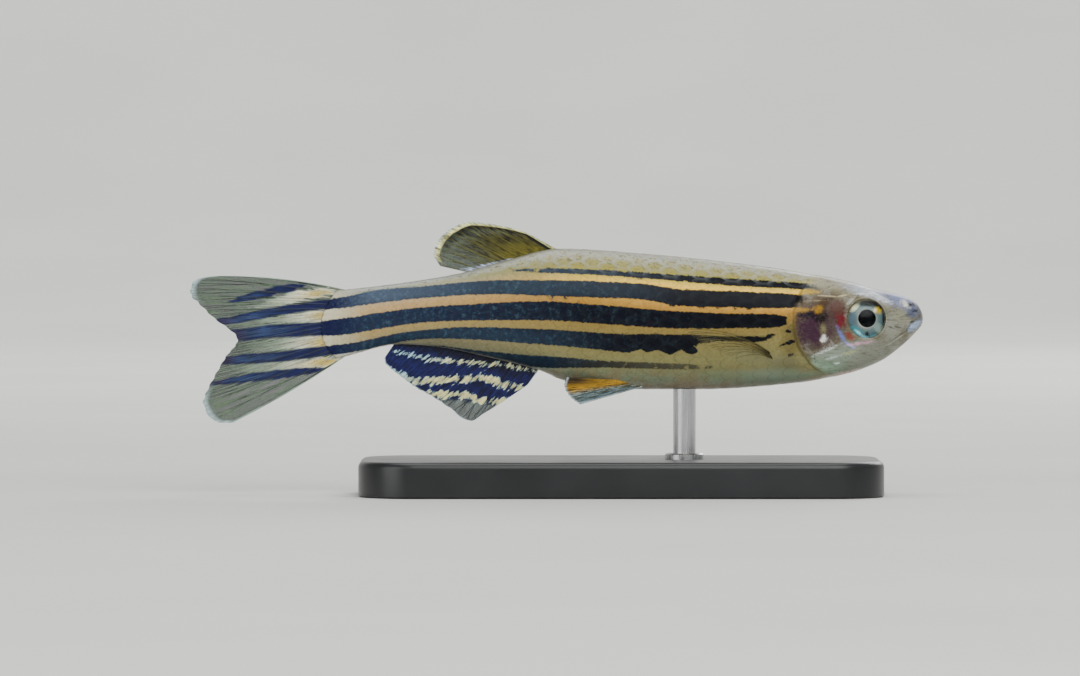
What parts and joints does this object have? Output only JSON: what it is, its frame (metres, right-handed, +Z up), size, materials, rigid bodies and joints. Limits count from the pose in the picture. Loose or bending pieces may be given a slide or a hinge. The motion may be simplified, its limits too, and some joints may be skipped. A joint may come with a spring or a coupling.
{
  "type": "zebra danio",
  "caption": "Slender striped aquarium fish, swimming level with fins spread and a forked tail, held over a flat rounded base by one short rod.",
  "frame": {"origin": "floor point under the middle of the whole model's length, on the fish's middle plane", "axes": "+X from the tail to the snout, +Y towards the fish's left flank, +Z up"},
  "size_m": [0.045, 0.013, 0.0167],
  "materials": {
    "skin": "wet fish skin with fine overlapping scales, gold with blue-black stripes",
    "fin": "thin translucent membrane over bony rays",
    "eye": "clear wet cornea over a silvery iris and a black pupil",
    "stand_base": "satin black acrylic with eased edges",
    "stand_rod": "drawn stainless rod"
  },
  "bodies": {
    "root": {"head": "skin", "torso": "skin", "tail": "skin", "eye_right": "eye", "eye_left": "eye", "dorsal_fin": "fin", "anal_fin": "fin", "caudal_fin": "fin", "pectoral_fin_right": "fin", "pectoral_fin_left": "fin", "pelvic_fin_right": "fin", "pelvic_fin_left": "fin", "stand_base": "stand_base", "stand_rod": "stand_rod"}
  },
  "joints": []
}
